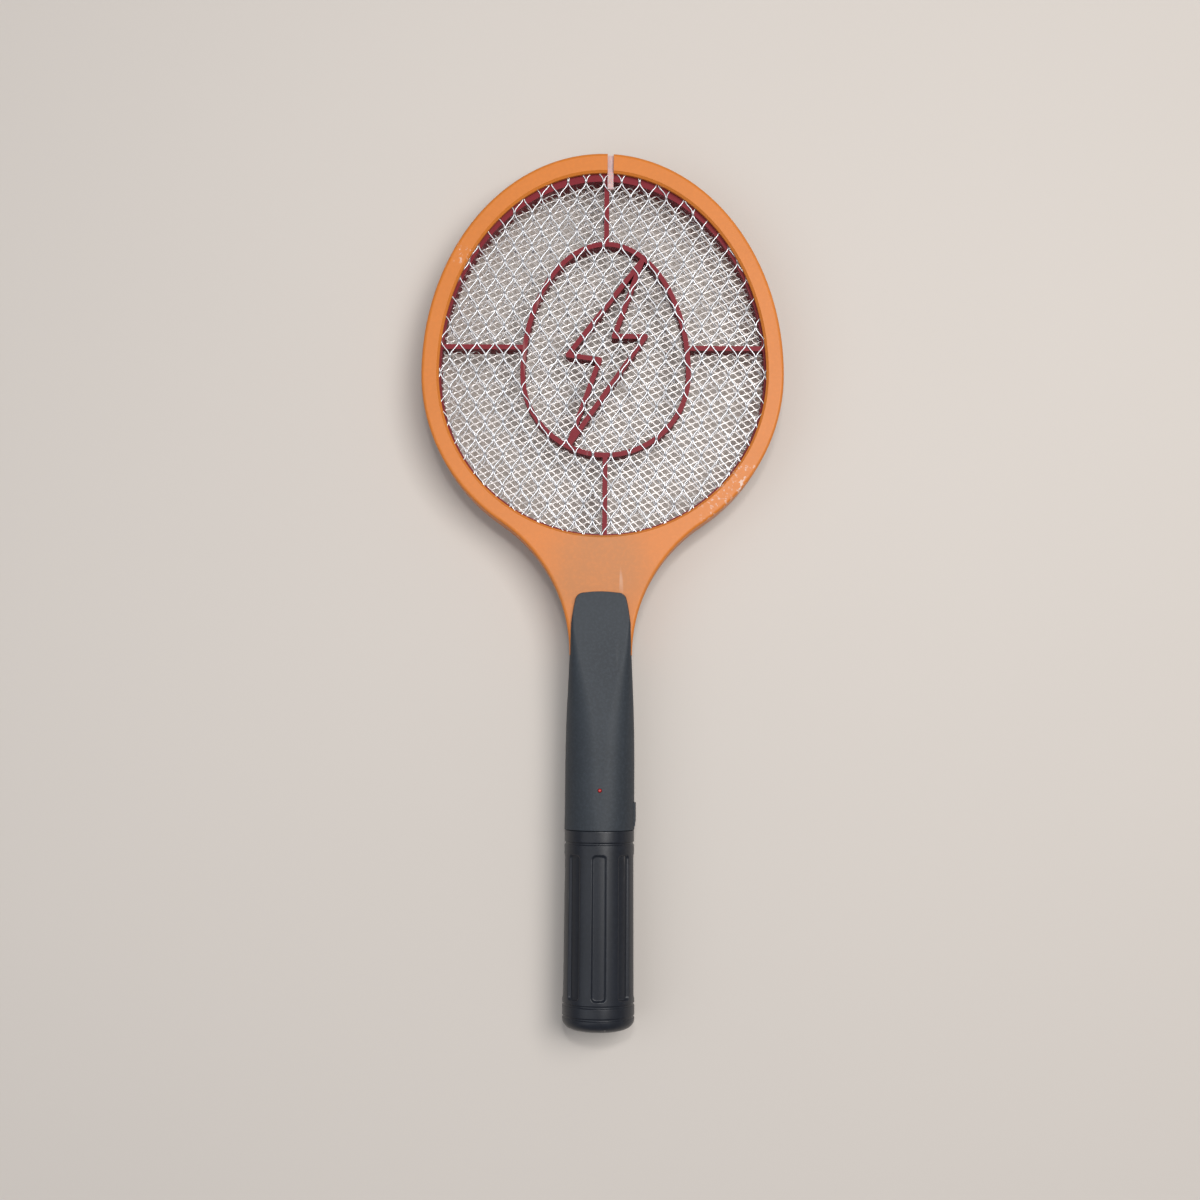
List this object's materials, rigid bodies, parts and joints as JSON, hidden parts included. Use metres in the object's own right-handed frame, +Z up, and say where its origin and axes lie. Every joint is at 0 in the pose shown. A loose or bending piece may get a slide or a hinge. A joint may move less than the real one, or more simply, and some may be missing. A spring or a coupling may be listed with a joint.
{
  "type": "electric fly swatter",
  "caption": "Racket-shaped electric fly swatter: egg-shaped hoop with layered wire electrodes and red spacer ribs, short flared throat, round black handle with button and pull-off battery cap.",
  "frame": {"origin": "centre of the base of the bounding box: under the middle of the object as it lies on its back, on the surface it lies on", "axes": "+X across the head to the right, +Y along the handle towards the crown of the hoop, +Z up out of the front face"},
  "size_m": [0.1788, 0.43, 0.0348],
  "materials": {
    "orange_plastic": "satin",
    "black_plastic": "matte",
    "red_plastic": "satin",
    "milky_nylon": "satin",
    "tray_plastic": "matte",
    "galvanised_wire": "satin",
    "screw_steel": "satin",
    "spring_steel": "polished",
    "brass": "satin",
    "board": "satin",
    "ferrite": "matte",
    "winding": "satin",
    "capacitor_coat": "gloss",
    "part_black": "satin",
    "resistor_coat": "satin",
    "red_lens": "gloss",
    "red_wire": "satin",
    "black_wire": "satin",
    "white_wire": "satin",
    "rubber": "matte",
    "cell_wrap": "gloss"
  },
  "bodies": {
    "racket": {"front_frame": "orange_plastic", "rear_frame": "orange_plastic", "frame_screws": "screw_steel", "crown_clip": "milky_nylon", "front_mesh": "galvanised_wire", "rear_mesh": "galvanised_wire", "inner_grid": "galvanised_wire", "front_spacer": "red_plastic", "rear_spacer": "red_plastic", "mesh_strip": "galvanised_wire", "grid_terminal": "brass", "handle_front_shell": "black_plastic", "handle_rear_shell": "black_plastic", "handle_screws": "screw_steel", "switch_body": "part_black", "circuit_board": "board", "board_screws": "screw_steel", "transformer_core": "ferrite", "transformer_winding": "winding", "hv_capacitor": "capacitor_coat", "hv_diodes": "part_black", "resistors": "resistor_coat", "transistor": "part_black", "indicator_led": "red_lens", "grid_wire": "red_wire", "mesh_wire": "white_wire", "battery_wire_negative": "black_wire", "battery_wire_positive": "red_wire", "battery_tray": "tray_plastic", "cap_seal_ring": "rubber", "battery_cell_left": "cell_wrap", "battery_cell_right": "cell_wrap", "negative_contact": "spring_steel", "positive_contact": "spring_steel", "bridge_contact": "spring_steel"},
    "power_button": {"power_button": "black_plastic", "switch_plunger": "part_black"},
    "battery_cap": {"battery_cap": "black_plastic"}
  },
  "joints": [
    {"name": "power_button_press", "type": "slide", "parent": "racket", "child": "power_button", "axis": [-1, 0, 0], "range_m": [0, 0.0012], "stiffness_N_per_m": 900, "springref_m": -0.0008},
    {"name": "battery_cap_pull", "type": "slide", "parent": "racket", "child": "battery_cap", "axis": [0, -1, 0], "range_m": [0, 0.085]}
  ]
}
